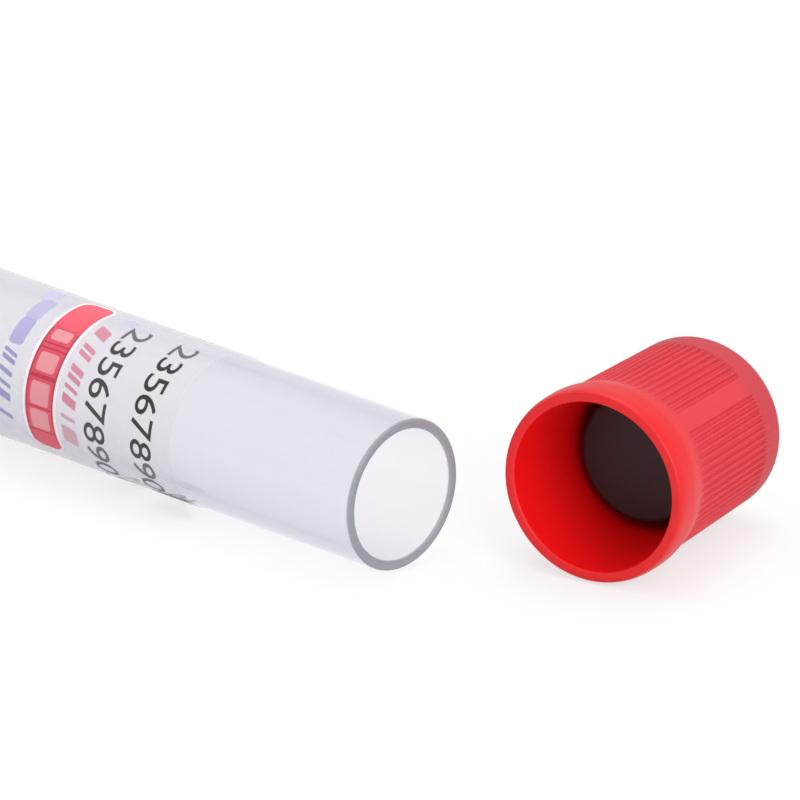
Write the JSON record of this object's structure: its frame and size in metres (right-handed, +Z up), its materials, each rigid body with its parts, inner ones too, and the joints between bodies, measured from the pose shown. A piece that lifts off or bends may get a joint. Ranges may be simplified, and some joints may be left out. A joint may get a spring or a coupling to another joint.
{
  "type": "blood collection tube",
  "caption": "Clear round-bottomed sample tube with a wrapped label, lying beside its red push-on cap, which has grooved grip panels and holds a dark rubber stopper.",
  "frame": {"origin": "middle of the footprint of the lying tube and cap, on the surface they lie on", "axes": "+X along the tube towards its open mouth, +Z up"},
  "size_m": [0.121, 0.0362, 0.0167],
  "materials": {
    "clear_plastic": "clear moulded plastic, smooth and glossy",
    "label_film": "white printed film, satin",
    "red_plastic": "red moulded plastic with a soft sheen",
    "dark_rubber": "dark moulded rubber, matte"
  },
  "bodies": {
    "tube_body": {"tube": "clear_plastic", "label": "label_film"},
    "cap_body": {"cap": "red_plastic", "stopper": "dark_rubber"}
  },
  "joints": [
    {"name": "cap_lift", "type": "slide", "parent": "tube_body", "child": "cap_body", "axis": [0, 0, 1], "range_m": [0, 0.05]}
  ]
}
